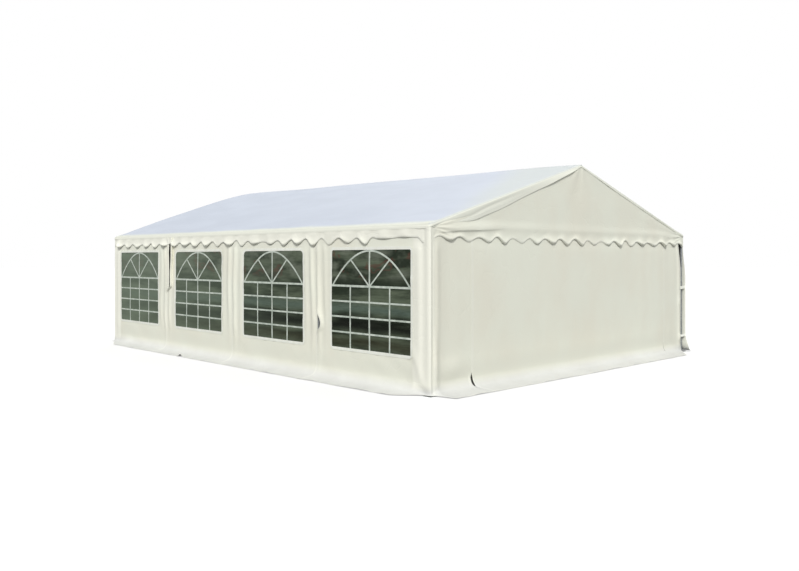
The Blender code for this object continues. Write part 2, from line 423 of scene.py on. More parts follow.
def roof_finish():
    """Painted light over the cloth's own cream: bluish and darker on top, a painted sky tint and painted
    shade; painted paler towards the right gable end; turning cream towards the eaves and the gables, with the
    rolls there painted darker to tone down their highlight; and palest, its own cream, where it hangs.
    """
    finish = Finish("roof_cloth", Roughness=0.6, Sheen_Weight=0.02, Specular_IOR_Level=0.15)
    x, y = finish.place(0).size(), finish.place(1).size()
    _, stitch = cloth_relief(finish, 0.35, 1 - y.soft(HALF_WIDTH - 0.012, HALF_WIDTH - 0.001))
    mottle = finish.grain(finish.scaled(finish.place(), (0.5, 1.0, 1.0)), 2.2, 3.0)
    # Painted sky tint and shade: the top is bluish and darker than where the cloth hangs, for the sky light
    # that falls on the slopes.
    top = finish.mixed(mottle.soft(0.3, 0.7), rgb(190, 197, 209), rgb(195, 202, 214))
    wander = (finish.grain(finish.place(), 2.0, 2.0) - 0.5) * 0.16
    # Painted highlight: the roof is paler and less blue towards the right gable end.
    painted_paler_end = (finish.place(0) + wander - y * 0.46).soft(2.55, 3.15)
    # Painted shade: the bands on and near the rolls over the eaves and the gables are darker than the hanging
    # cloth, to tone down the highlight that falls on them.
    eave = (y + wander * 0.35).soft(HALF_WIDTH - 0.17, HALF_WIDTH - 0.02)
    rake = x.soft(HALF_LENGTH - 0.05, HALF_LENGTH - 0.02)
    fallen = (RIDGE - y * SLOPE - finish.place(2)).soft(0.007, 0.015)
    hanging_eave = y.soft(HALF_WIDTH - 0.009, HALF_WIDTH - 0.004) * fallen
    hanging_rake = x.soft(HALF_LENGTH - 0.0085, HALF_LENGTH - 0.0055) * fallen
    finish.paint(
        top,
        (painted_paler_end * 0.85, rgb(197, 203, 202)),
        (eave, rgb(218, 220, 208)),
        (rake, rgb(207, 211, 206)),
        (hanging_eave, rgb(240, 241, 229)),
        (hanging_rake, rgb(234, 236, 224)),
        (stitch * 0.35, rgb(190, 192, 184)),
    )
    return finish


def wall_finish():
    """Cream cloth, paler and greyer at the foot and darker there, a painted sky tint and painted shade on the
    skirt; painted shade low on the walls; painted highlights on the valances and near the corners; and a
    trace of dust at the foot.
    """
    finish = Finish("wall_cloth", Roughness=0.58, Sheen_Weight=0.05, Specular_IOR_Level=0.35)
    z = finish.place(2)
    turned, stitch = cloth_relief(finish)
    mottle = finish.grain(finish.scaled(finish.place(), (1.0, 1.0, 0.6)), 1.6, 3.0)
    body = finish.mixed(mottle.soft(0.3, 0.7), rgb(237, 236, 221), rgb(239, 241, 227))
    # Painted sky tint and shade: the foot is greyer and darker, for the sky light and the top light that the
    # upturned skirt catches.
    foot = finish.mixed(mottle.soft(0.35, 0.75), rgb(212, 213, 210), rgb(220, 221, 218))
    # Painted highlight: the valances are painted paler than the walls.
    valance = z.soft(1.70, 1.78) * (finish.place(1).size() > HALF_WIDTH - 0.003)
    # Painted highlight: the long sides are painted paler from the last window to each corner, above the foot.
    doubled = finish.place(0).size().soft(3.70, 3.77) * (finish.place(1).size() > HALF_WIDTH - 0.010)
    dust = finish.grain(finish.place(), 9.0, 5.0, 0.6).soft(0.5, 0.8) * (1 - z.soft(0.0, 0.2))
    finish.paint(
        body,
        # Painted shade: the wall is darker low down, round 0.2 m.
        (z.near(0.20, 0.22) * 0.65, rgb(224, 225, 212)),
        (valance, rgb(242, 242, 230)),
        (1 - z.soft(0.02, 0.16), foot),
        (doubled * z.soft(0.02, 0.14) * 0.85, rgb(250, 250, 238)),
        (turned * 0.3, rgb(243, 244, 234)),
        (dust * 0.10, rgb(176, 168, 150)),
        (stitch * 0.35, rgb(190, 191, 180)),
    )
    return finish


def welded_finish():
    """The doubled, heat-welded cloth round a window."""
    finish = Finish("welded_cloth", Roughness=0.42)
    mottle = finish.grain(finish.place(), 14.0, 3.0)
    finish.paint(finish.mixed(mottle.soft(0.35, 0.65), rgb(238, 240, 229), rgb(244, 246, 238)))
    weave = finish.grain(finish.flat(), 220.0, 2.0)
    finish.bump(0.0002 * weave + 0.0012 * mottle)
    return finish


def bar_finish():
    """The thin welded strips across the film."""
    finish = Finish("window_bars", Roughness=0.4)
    mottle = finish.grain(finish.place(), 11.0, 3.0)
    finish.paint(finish.mixed(mottle.soft(0.35, 0.65), rgb(182, 193, 182), rgb(214, 222, 212)))
    finish.bump(0.001 * mottle)
    return finish


def film_finish():
    """Clear film that looks dark from outside, with a painted reflection of the surroundings in it: soft
    level bands, and a paler painted reflection towards the left.
    """
    finish = Finish("window_film", Roughness=0.14, Alpha=0.97, IOR=1.3, Specular_IOR_Level=0.3)
    x, z = finish.place(0), finish.place(2)
    where = finish.place()
    streak = finish.grain(finish.scaled(where, (0.9, 1.0, 6.0)), 1.5, 3.0, 0.5)
    patch = finish.grain(finish.scaled(where, (1.0, 1.0, 1.6)), 2.6, 3.0)
    fine = finish.grain(finish.scaled(where, (2.5, 1.0, 22.0)), 3.5, 3.0)
    # The film's dark green is partly its own tint and partly painted reflection. The level bands, the pale
    # and brown patches up high and the paler wash towards the left are painted reflection.
    level = z + (patch - 0.5) * 0.10 + (streak - 0.5) * 0.06
    base = finish.mixed(streak.soft(0.34, 0.66), rgb(42, 51, 39), rgb(96, 106, 88))
    high = level.soft(1.2, 1.36)
    paler_reflection = (0.5 - x * 0.125).soft(0.15, 1.05)
    finish.paint(
        base,
        (level.near(0.50, 0.12) * 0.7, rgb(50, 48, 32)),
        (level.near(0.70, 0.13) * 0.92, rgb(9, 12, 8)),
        (level.near(0.91, 0.10) * 0.75, rgb(92, 108, 98)),
        (high * patch.soft(0.46, 0.64) * 0.7, rgb(114, 121, 107)),
        (high * patch.near(0.40, 0.05) * 0.55, rgb(96, 58, 50)),
        (fine.soft(0.42, 0.72) * 0.22, rgb(16, 22, 15)),
        (paler_reflection * (0.50 + 0.50 * streak), rgb(118, 132, 114)),
    )
    wobble = finish.grain(finish.scaled(where, (1.0, 1.0, 0.7)), 4.0, 3.0)
    finish.bump(0.004 * wobble)
    return finish


def tape_finish():
    """The dark woven tape of a zip."""
    finish = Finish("zip_tape", Roughness=0.7)
    weave = finish.grain(finish.scaled(finish.place(), (1.0, 1.0, 0.4)), 160.0, 2.0)
    finish.paint(finish.mixed(weave.soft(0.3, 0.7), rgb(34, 34, 32), rgb(62, 61, 56)))
    finish.bump(0.0005 * weave)
    return finish


def steel_finish():
    """Hot-dip galvanised tube, with its pale crystals and a little dull wear."""
    finish = Finish("galvanised_steel", Metallic=0.85)
    where = finish.place()
    cells = {"Vector": where, "Scale": 90.0}
    crystals = finish.node("ShaderNodeTexVoronoi", {"feature": "F1"}, cells, out="Color")
    spangle = finish.measure(crystals, 0)
    wear = finish.grain(where, 18.0, 4.0)
    base = finish.mixed(spangle.soft(0.1, 0.9), rgb(158, 163, 165), rgb(192, 196, 197))
    finish.paint(base, (wear.soft(0.55, 0.75) * 0.5, rgb(138, 140, 138)))
    finish.give("Roughness", 0.36 + 0.16 * wear + 0.06 * spangle)
    finish.bump(0.0002 * spangle + 0.0004 * wear)
    return finish


roof_cloth = roof_finish()
wall_cloth = wall_finish()
welded_cloth = welded_finish()
window_bars = bar_finish()
window_film = film_finish()
galvanised = steel_finish()
zip_tape = tape_finish()


# Roof cover

ROLL = 0.0285  # radius of the cover round the outer tubes
ROLL_LENGTH = ROLL * pi / 2
HANG = 0.09  # flat length of the cover below the roll
RIDGE_ROUND = 0.008  # how softly the cover bends over the ridge
CORNER_SWELL = 0.0078  # how far it stands up over the ends of the eave purlins
CORNER_SOFT = 0.22  # within this distance of a corner


def roof_height(y):
    """The cover's height before the air lifts it."""
    return RIDGE - SLOPE * hypot(y, RIDGE_ROUND)


def over_rim(distance, inner):
    """0 on the slope, 1 at the end of the roll, 2 at the cover's edge."""
    over = max(abs(distance) - inner, 0.0)
    return over / ROLL_LENGTH if over < ROLL_LENGTH else 1 + (over - ROLL_LENGTH) / HANG


def roof_lift(x, y):
    """The air lifts the cover off the frame, most at its left end, and leaves faint creases."""
    far = abs(y)
    right = 1 - exp(-max(END_X - x, 0.0) / 0.42)
    slope = sin(pi * min(far / HALF_WIDTH, 1.0)) ** 0.9
    bay = sin(pi * (x + HALF_LENGTH) / BAY) ** 2
    cell = sin(pi * far / (HALF_WIDTH / 2)) ** 2
    left = ease(2.5, -1.5, x)
    ridge = (0.026 + 0.034 * left) * ease(1.7, 0.0, far)
    lift = (ridge + 0.030 * slope) * right
    share = min(far / HALF_WIDTH, 1.0)
    billow = 0.025 * (1 - share) + 0.058 * sin(pi * share**0.75) * (1 - 0.5 * ease(0.0, 1.0, y))
    lift += billow * ease(-1.8, -3.9, x)
    lift -= 0.010 * bay * cell * (1 + 0.5 * drift(x, y, 4.2, 1.4, 1.4))
    calm = ease(0.0, 0.25, END_X - abs(x)) * ease(0.0, 0.2, far) * ease(0.0, 0.12, HALF_WIDTH - far)
    creases = 0.0035 * drift(x * 0.8 + far, x - 0.6 * y, 8.4, 0.22, 2.2)
    pull = x - 1.62 - 0.9 * (HALF_WIDTH - far)
    creases += 0.007 * hump(pull, 0.0, 0.035) * ease(1.5, 2.3, far)
    return max(lift, 0.0) + creases * calm


def rake_is_loose(x, y):
    """On one half of each gable the cover's edge hangs free; on the other half it is drawn tight."""
    return x * y < 0


def rake_hang(x, y):
    """How far the cover's edge hangs over the gable: least at the ridge."""
    if rake_is_loose(x, y):
        hang = 0.130 * min(abs(y) / 1.9, 1.0) ** 0.8 * (1 - 0.85 * ease(2.2, 2.9, abs(y)))
        return hang + 0.010 * drift(y, x, 2.7, 0.35) * ease(0.0, 0.4, abs(y))
    return 0.012 + 0.012 * ease(0.0, 1.0, abs(y)) + 0.004 * drift(y, x, 2.7, 0.3)


def rake_flare(x, y):
    """How far that edge stands off the gable."""
    loose = 0.0025 + 0.0125 * ease(1.45, 0.65, abs(y)) if rake_is_loose(x, y) else 0.003
    return loose * (0.9 + 0.6 * drift(y, x, 6.1, 0.4)) * ease(0.0, 0.35, abs(y)) * ease(3.0, 2.7, abs(y))


def roof_point(a, b):
    """Carries a point of the flat cover over the slopes, round the outer tubes and down over the edges."""
    rim_x, rim_y = over_rim(a, END_X), over_rim(b, LEG_Y * SLOPE_STRETCH)
    x = copysign(min(abs(a), END_X), a)
    y = copysign(min(abs(b) / SLOPE_STRETCH, LEG_Y), b)
    rim = max(rim_x, rim_y)
    lift = roof_lift(x, y)
    corner = CORNER_SWELL * ease(END_X - CORNER_SOFT, END_X - 0.005, abs(x))
    corner *= ease(LEG_Y - CORNER_SOFT, LEG_Y - 0.005, abs(y))
    if rim == 0:
        return x, y, roof_height(y) + lift + corner
    turn = 45 * rim_y / rim_x if rim_x >= rim_y else 90 - 45 * rim_x / rim_y
    turn = radians(turn)
    share = sin(turn) ** 2
    angle = min(rim, 1.0) * pi / 2
    below = max(rim - 1.0, 0.0)
    hang = (rake_hang(a, y) + lift) * (1 - share) + 0.02 * share
    over_wall = 0.004 * ease(3.74, 3.84, abs(x)) if rake_is_loose(x, y) else 0.0
    flare = rake_flare(a, y) * (1 - share) + (0.0006 + over_wall) * share
    tucked = 0.30 + 0.35 * ease(1.9, 2.6, abs(y))
    flare = flare * below**0.8 - 0.006 * hump(below, tucked, 0.12) * (1 - share) * ease(1.2, 2.0, abs(y))
    out = (ROLL + corner * (1 - 0.6 * ease(0.0, 0.9, below))) * sin(angle) + flare
    x += copysign(cos(turn) * out, a)
    y += copysign(sin(turn) * out, b)
    return x, y, roof_height(y) + lift - ROLL + (ROLL + corner) * cos(angle) - hang * below


def make_roof():
    """One sheet over both slopes, with the edges rolled over the eaves and the gables."""
    side = LEG_Y * SLOPE_STRETCH
    end_roll, side_roll = END_X + ROLL_LENGTH, side + ROLL_LENGTH
    end, low = end_roll + HANG, side_roll + HANG
    across = mirrored((3.2, 74), (END_X, 30), (end_roll, 6), (end, 9))
    up = mirrored((0.03, 3), (2.9, 52), (side, 10), (side_roll, 6), (low, 3))
    shape = cut_sheet(across, up, roof_point)
    cover = finished("roof_cover", shape, roof_cloth, CLOTH, 0.0)
    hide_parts("roof_cover_front", "roof_cover_back")
    2 * end
    2 * low


# Valances

EDGE_Z = 1.730  # mean height of a scalloped edge
SWING = 0.030  # and how far it swings up and down
UNDER_Z = 1.752  # height of the edge where it is turned under
VALANCE_MEAN = 0.17  # and down to the middle of its scallops


def round_leg(a, plane):
    """Plan place and outward direction at distance a along a long side, round the corner legs too."""
    radius = plane - LEG_Y
    over = max(abs(a) - END_X, 0.0)
    way = copysign(1.0, a)
    angle = min(over / radius, pi / 2)
    along = over - radius * angle
    radius += 0.006 * sin(2 * angle) ** 2
    normal = Vector((way * sin(angle), -cos(angle)))
    place = Vector((a if over == 0 else way * END_X, -LEG_Y + along)) + radius * normal
    return place, normal


def turned_reach(plane, lap):
    """The distance along a long side to an edge that laps on to the end by this much."""
    return END_X + (plane - LEG_Y) * pi / 2 + lap


def lobe_phase(x, seed):
    """Counts the scallops; they hang lowest at whole numbers."""
    return x / PITCH + 0.16 * drift(x, 0.0, seed, 0.55)


def valance_edge(x, seed, plain=None):
    """The height of the scalloped edge. plain is where the edge is turned under."""
    phase = lobe_phase(x, seed)
    swing = SWING * (1 + 0.9 * drift(x, 1.0, seed + 3, 0.45))
    middle = EDGE_Z + 0.012 * drift(x, 2.0, seed + 5, 0.6)
    edge = middle - swing * cos(2 * pi * phase)
    if plain:
        start, end = plain
        under = ease(start - 0.05, start + 0.08, x) * (1 - ease(end - 0.05, end + 0.05, x))
        edge = edge * (1 - under) + (UNDER_Z + 0.006 * sin(9 * x)) * under
        edge -= 0.030 * hump(x, start - 0.13, 0.045)
    return edge


def lobe_puff(x, above, seed, size):
    """How far the edge stands out: a soft uneven roll just above it, which curls back in underneath."""
    turn = 2 * pi * lobe_phase(x, seed)
    uneven = 1 + 1.3 * drift(x, 6.0, seed + 11, 0.24)
    wide = 0.019 + 0.006 * cos(turn + 0.6)
    stands = max(size * uneven * (0.66 + 0.34 * cos(turn + 0.5)), 0.003)
    return stands * (0.30 * exp(-above / 0.04) + bulge(above / wide))


def corner_roll(distance, middle, width, height):
    """A soft roll of cloth that stands out at this distance from a corner."""
    return height * hump(distance, middle, width)


def make_valance(side, turn, seed, shift=0.0, plain=None):
    """The scalloped strip along an eave, with both ends turned round the corner legs."""
    half = turned_reach(VALANCE_PLANE, 0.012)
    top, depth = 1.886, 0.175

    def place(a, b):
        along = a + shift
        edge = valance_edge(along, seed, plain)
        z = edge + (top - edge) * b / depth
        size = 0.018 + 0.012 * ease(0.5, -3.5, a)
        if plain:
            size *= 1 - 0.6 * ease(plain[0] - 0.05, plain[0] + 0.08, along)
        rim = ease(END_X, END_X - 0.10, abs(a))
        out = lobe_puff(along, z - edge, seed, size) * rim * ease(1.87, 1.80, z)
        pleats = 0.004 * (0.5 + 0.9 * drift(a, z, seed, 0.14, 0.4))
        pleats += 0.003 * cos(2 * pi * lobe_phase(along, seed))
        out += max(pleats, 0.0) * ease(1.875, 1.82, z) * rim
        point, normal = round_leg(a, VALANCE_PLANE)
        return *(point + normal * out), z

    shape = cut_sheet(spaced(-half, (half, 540)), spaced(0.0, (0.05, 10), (depth, 9)), place)
    valance = finished(f"{side}_valance_cloth", shape, wall_cloth, CLOTH, turn)
    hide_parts(f"{side}_valance")
    2 * half
    2 * half * VALANCE_MEAN


# Gables

LEDGE = 0.013  # how far the rucked cloth stands out


def ledge_fold(y, z):
    """Towards one eave corner the gable cloth is rucked up into a level roll above a sharp crease."""
    crease = 1.811 + 0.057 * (y + 2.845) + 0.004 * sin(7 * y)
    above = z - crease
    fade = ease(-1.55, -2.2, y) * ease(-2.93, -2.80, y)
    if above < 0:
        return LEDGE * fade * exp(above / 0.010)
    return LEDGE * fade * ease(0.15, 0.0, above)


def gable_swell(y, z, seed):
    """The gable cloth lies over the end bar and is gathered a little at the eave corners."""
    out = 0.006 * hump(z, END_BAR_Z + 0.01, 0.05) + ledge_fold(y, z)
    for corner in (-HALF_WIDTH, HALF_WIDTH):
        along, rise = abs(y - corner), z - 1.87
        far = hypot(along, rise)
        angle = atan2(rise, max(along, 1e-6))
        fade = exp(-far / 0.75) * ease(0.03, 0.25, far)
        out += 0.0048 * fade * cos(26 * angle + 0.9)
    apex = hypot(y, z - RIDGE)
    out += 0.006 * exp(-apex / 0.35) * sin(7 * atan2(y, RIDGE - z + 0.02))
    out += 0.005 * drift(y, z, seed, 0.5, 0.35)
    return out


def make_gable(end, turn, seed):
    """The triangle under the roof's end, with its own scalloped valance below the eaves' height."""
    half = LEG_Y - 0.002
    split = VALANCE_MEAN
    ledge = EAVE - 0.012

    def place(a, b):
        edge = valance_edge(a, seed)
        top = roof_height(a) - 0.016
        if b < split:
            z = edge + (ledge - edge) * b / split
        else:
            z = ledge + (top - ledge) * (b - split)
        rim = ease(half, half - 0.10, abs(a))
        edge_calm = ease(0.0, 0.07, top - z + 0.01)
        size = 0.018 + 0.008 * ease(0.2, 2.6, a)
        out = lobe_puff(a, z - edge, seed, size) * edge_calm
        out += max(gable_swell(a, z, seed), -0.002) * ease(edge, edge + 0.08, z) * edge_calm
        return GABLE_PLANE + out * rim, a, z

    up = spaced(0.0, (0.05, 10), (split, 14), (split + 1.0, 30))
    shape = cut_sheet(spaced(-half, (half, 330)), up, place)
    gable = finished(f"{end}_gable_cloth", shape, wall_cloth, CLOTH, turn)
    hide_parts(f"{end}_gable")
    2 * half


# Long walls

PROUD = 0.005  # the walls' sheets pass in front of the valance at two corners
CORNER_LAP = 0.018  # how far a long wall's sheet laps round on to the end
LEFT_LAP = 0.006  # how far the sheet on the left runs past a joint
RIGHT_LAP = 0.03  # how far the sheet on the right starts before it
HOLE_MARGIN = 0.006  # the cut in the cloth is this much wider all round than the clear window
SKIRT_TOP = 0.15  # the wall hangs straight above this height
SKIRT_BEND = [(0.19, 0.009), (0.09, 0.022), (0.045, 0.042), (0.02, 0.076), (0.004, 0.118)]
SKIRT = Path(rounded([(SKIRT_REACH, 0.0055), *SKIRT_BEND, (0.0, SKIRT_TOP)], 2))
FOOT_ROWS = [(HEM, 3), (HEM + HEM_STEP, 1), (SKIRT.length, 22)]


def skirt_profile(distance):
    """(how far out, how high) at a distance from the hem, up over the skirt and the wall."""
    if distance < SKIRT.length:
        return SKIRT.at(distance)
    return Vector((0.0, SKIRT_TOP + distance - SKIRT.length))


def height_to_flat(z):
    """The distance from the hem, over the cloth, to this height on the wall."""
    return SKIRT.length + z - SKIRT_TOP


WALL_LENGTH = height_to_flat(WALL_TOP)


def corner_pull(x, z):
    """Below the last window the cloth is drawn down to the corner's foot in a slanting fold."""
    off = x - (3.715 + 0.42 * (0.433 - z))
    fade = ease(0.03, 0.12, z) * ease(0.62, 0.40, z)
    return fade * 0.009 * hump(off, 0.045, 0.055)


def wall_swell(x, z, seed):
    """How far a long wall stands out of its plane: folds at the legs, a slight belly in each bay."""
    out = 0.0
    low = ease(0.28, 0.62, z)
    for number, joint in enumerate(JOINTS):
        off, width = x - joint, 0.19
        if abs(off) > 2.2 * width:
            continue
        lean = 2.2 * drift(number, z, seed, 1.0, 0.7)
        pitch = 0.140 + 0.012 * (number % 3)
        fold = 0.5 + 0.5 * cos(2 * pi * off / pitch + lean + 1.7 * number)
        deep = 0.003 if abs(joint) == HALF_LENGTH else 0.024
        uneven = 1 + 0.9 * drift(x, z, seed, 0.25, 0.45)
        out += deep * fold**1.5 * hump(off, 0.0, width) * (0.12 + 0.88 * low) * uneven
    near = HALF_LENGTH - abs(x)
    if near < 0.4:
        sway = 0.008 * drift(copysign(1, x), z, seed + 5, 1.0, 0.7)
        out += corner_roll(near, 0.044 + sway, 0.028, 0.006)
        crest = 0.168 + 2 * sway
        out += corner_roll(near, crest, 0.078 if near > crest else 0.050, 0.015) * ease(0.0, 0.35, z)
    bay = (x + HALF_LENGTH) % BAY - BAY / 2
    belly = ease(1.0, 0.7, abs(bay))
    full = 0.006 * sin(pi * min(z / WALL_TOP, 1.0))
    out += belly * (full + 0.005 * drift(x, z, seed + 2, 0.5, 0.5))
    below = ease(0.42, 0.30, z)
    out += below * belly * 0.005 * drift(x + z, z, seed + 4, 0.25, 0.4)
    out += corner_pull(x, z) + 0.010 * hump(x, 1.955, 0.022) * hump(z, 0.69, 0.09)
    proud = ease(3.87, 3.92, x)
    out -= (0.93 * out + 0.001) * ease(1.60, 1.72, z) * (1 - proud)
    return out * ease(0.0, 0.03, turned_reach(WALL_PLANE, 0.012) - abs(x)) + PROUD * proud


def slit_edges(joint, z, slits):
    """Where the left and the right sheet end at a joint: they overlap, except at an open slit."""
    left, right = joint + LEFT_LAP, joint - RIGHT_LAP
    if slits and joint == JOINTS[1]:
        right += 0.180 * ease(0.96, 1.07, z) + 0.030 * ease(1.25, 1.60, z) - 0.012 * hump(z, 0.96, 0.04)
        left += 0.060 * ease(0.94, 1.05, z)
    if slits and joint == JOINTS[3]:
        right += 0.106 * ease(0.98, 0.69, z) * ease(0.56, 0.66, z)
    return left, right


def panel_reach(x, seed, side):
    """How far the skirt's hem lies out on the ground."""
    reach = SKIRT_REACH + 0.012 * drift(x, 0.0, seed + 7, 0.5) + 0.008 * drift(x, 3.0, seed + 8, 0.12)
    if side == "front":
        reach *= 0.10 + 0.90 * ease(-4.05, -3.35, x)
        return reach * (0.06 + 0.94 * ease(3.99, 3.58, x) + 0.09 * ease(3.985, 4.01, x))
    return reach * (0.45 + 0.55 * ease(-4.0, -3.86, x)) * (0.30 + 0.70 * ease(4.0, 3.85, x))


def make_panel(side, number, turn, seed):
    """One wall panel with its skirt and its window.

    A corner panel's outer edge turns round the leg. Only the back's first panel ends flat beside its leg.
    """
    centre = -HALF_LENGTH + BAY * (number - 0.5)
    left_joint, right_joint = centre - BAY / 2, centre + BAY / 2
    first, last, slits = number == 1, number == 4, side == "front"
    open_corner = first and not slits
    turned = turned_reach(WALL_PLANE, CORNER_LAP)
    start = left_joint - RIGHT_LAP
    if first:
        start = -HALF_LENGTH - 0.036 if open_corner else -turned
    end = turned if last else right_joint + LEFT_LAP
    hole_side = WINDOW_HALF + HOLE_MARGIN
    low, high = height_to_flat(WINDOW_LOW - HOLE_MARGIN), height_to_flat(WINDOW_HIGH + HOLE_MARGIN)

    def place(a, b):
        out, z = skirt_profile(b)
        x, lap, lift = a, 0.0, 0.0
        if open_corner:
            tip = 0.045 * ease(1.20, 1.68, z) - 0.055 * ease(0.30, 0.02, z)
            x += tip * hump(a, start, 0.08)
        if not first:
            gap = slit_edges(left_joint, z, slits)[1] - start
            x += gap * hump(a, start, 0.15)
            lap = 2 * CLOTH * ease(0.16, 0.05, a - start)
            lift = 0.20 * max(gap, 0.0) * bulge((a - start) / 0.028)
        if not last:
            gap = slit_edges(right_joint, z, slits)[0] - end
            x += gap * hump(a, end, 0.10)
            lift += 0.25 * abs(gap) * bulge((end - a) / 0.022)
        on_ground = ease(0.13, 0.03, z)
        tucked = ease(WALL_TOP - 0.05, WALL_TOP, z) * ease(3.86, 3.90, x) * ease(END_X + 0.016, END_X, x)
        swell = wall_swell(x, z, seed) * (1 - 0.8 * on_ground * ease(0.0, 0.25, HALF_LENGTH - abs(x)))
        ripple = 0.010 * on_ground * max(0.2 + drift(x, out, seed + 6, 0.16, 0.5), 0.0)
        outwards = out * panel_reach(x, seed, side) / SKIRT_REACH + swell + lap + lift
        if slits:
            ripple += 0.042 * hump(a, -1.055, 0.045) * exp(-b / 0.045)
        if open_corner:
            point, normal = Vector((x, -WALL_PLANE)), Vector((0.0, -1.0))
        else:
            point, normal = round_leg(x, WALL_PLANE)
        return *(point + normal * outwards), z + ripple + lap * on_ground + 0.015 * tucked

    across = spaced(
        start,
        (start + HEM, 6 if first else 3),
        (start + HEM + HEM_STEP, 1),
        (centre - hole_side, 24 if first else 20),
        (centre + hole_side, 40),
        (end - HEM - HEM_STEP, 26 if last else 20),
        (end - HEM, 1),
        (end, 6 if last else 3),
    )
    up = spaced(0.0, *FOOT_ROWS, (low, 12), (high, 32), (WALL_LENGTH, 8))
    shape = cut_sheet(across, up, place, [(centre - hole_side, centre + hole_side, low, high)])
    panel = finished(f"{side}_wall_{number}", shape, wall_cloth, CLOTH, turn)
    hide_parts(f"{side}_wall_panel_{number}")

    def on_cloth(x, z, lift):
        return x, -(WALL_PLANE + wall_swell(x, z, seed) + lift), z

    border = make_border(side, number, centre, on_cloth, turn)
    end - start
    (end - start) * WALL_LENGTH - 2 * hole_side * (high - low)
    make_window(side, number, centre, on_cloth, turn)


def rounded_frame(centre, low, high, half, top_corner, low_corner):
    """The closed path of a rectangle with rounded corners."""
    points = []
    corners = [
        (centre + half, high, top_corner, 0),
        (centre - half, high, top_corner, 90),
        (centre - half, low, low_corner, 180),
        (centre + half, low, low_corner, 270),
    ]
    for x, z, radius, start in corners:
        step = radians(start)
        inner_x = x - copysign(radius, x - centre)
        inner_z = z - copysign(radius, z - (low + high) / 2)
        for k in range(7):
            angle = step + radians(15 * k)
            points.append((inner_x + radius * cos(angle), inner_z + radius * sin(angle)))
    middle = ((points[-1][0] + points[0][0]) / 2, (low + high) / 2)
    return Path([middle, *points, middle])


BORDER = 0.036  # width of the welded strip round a window
BORDER_LIFT = 0.0013  # its back stands this far in front of the wall
BAR = 0.022  # width of a welded bar
BAR_THICKNESS = 0.001
BAR_LIFT = 0.0013  # the bars' outer faces stand this far in front of the film
FILM_BEHIND = 0.0016  # the film's outer face lies this far behind the wall's
FILM_LAP = 0.03  # how far the film runs on behind the wall
BAR_LAP = 0.012  # how far the bars' ends run on behind the wall
TRANSOM = 0.634  # the arch stands at this share of the window's height
SLANT = 0.74  # the slanting bars reach this share of the arch's rise


def make_border(side, number, centre, on_cloth, turn):
    """The welded strip round the window, which stands a little proud of the wall."""
    low, high, half = WINDOW_LOW - BORDER / 2, WINDOW_HIGH + BORDER / 2, WINDOW_HALF + BORDER / 2
    top_corner = 0.078 if number in (2, 3) else 0.036
    path = rounded_frame(centre, low, high, half, top_corner, 0.026)

    def puckered(x, z):
        return on_cloth(x, z, BORDER_LIFT + 0.008 * max(drift(x, z, number, 0.11, 0.13), 0.0))

    shape = strip(path, BORDER, 150, puckered, closed=True)
    return finished(f"{side}_window_border_{number}", shape, welded_cloth, CLOTH, turn)


def make_window(side, number, centre, on_cloth, turn):
    """The film behind the opening, with its arch, two slanting bars and four rows of panes."""
    reach = WINDOW_HALF + FILM_LAP
    low, high = WINDOW_LOW - FILM_LAP, WINDOW_HIGH + FILM_LAP
    seed = number + (0 if side == "front" else 20)

    def film_point(x, z, lift=0.0):
        slack = ease(WINDOW_HALF, WINDOW_HALF - 0.12, abs(x - centre))
        slack *= ease(low, low + 0.15, z) * ease(high, high - 0.15, z)
        wave = 0.0035 * slack * drift(x, z, seed + 31, 0.4, 0.3)
        return on_cloth(x, z, lift + wave - FILM_BEHIND)

    across, up = spaced(centre - reach, (centre + reach, 40)), spaced(low, (high, 34))
    shape = cut_sheet(across, up, film_point)
    film = finished(f"{side}_film_{number}", shape, window_film, FILM, turn)
    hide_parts(f"{side}_window_film_{number}")

    def on_film(x, z):
        return film_point(x, z, BAR_LIFT)

    transom = WINDOW_LOW + TRANSOM * (WINDOW_HIGH - WINDOW_LOW)
    rise = WINDOW_HIGH - transom
    bars = []

    def bar(points, steps, width=BAR):
        bars.append(strip(Path(points), width, steps, on_film, inward=True))

    arch = []
    for k in range(33):
        share = -1 + k / 16
        x = centre + share * WINDOW_HALF * 0.985
        arch.append((x, transom + (rise - BAR * 0.45) * (1 - share * share)))
    bar(arch, 64)
    for x in (centre - WINDOW_HALF / 2, centre + WINDOW_HALF / 2):
        bar([(centre, transom), (x, transom + SLANT * rise)], 12, BAR * 0.9)
        bar([(x, WINDOW_LOW - BAR_LAP), (x, transom)], 24)
    bar([(centre, WINDOW_LOW - BAR_LAP), (centre, WINDOW_HIGH + BAR_LAP)], 40, BAR * 1.1)
    left, right = centre - WINDOW_HALF - BAR_LAP, centre + WINDOW_HALF + BAR_LAP
    for row in range(1, 5):
        z = WINDOW_LOW + (transom - WINDOW_LOW) * row / 4
        bar([(left, z), (right, z)], 48, BAR * (1.15 if row == 4 else 0.95))
    name = f"{side}_window_bars_{number}"
    lattice = finished(name, joined(bars), window_bars, BAR_THICKNESS, turn)


# End walls

ZIP_Y = 2.31
ZIP_TOP = 1.75
OPEN_BELOW = 0.20  # the door slit is open below this height
FLAP_WIDTH = 0.045  # of the cloth that covers a zip
FLAP_LIFT = 0.0009  # its back stands this far in front of the sheet
TAPE_WIDTH = 0.060
TUCK = 0.0026  # how far an edge is tucked in behind the wrapped edge of the long wall


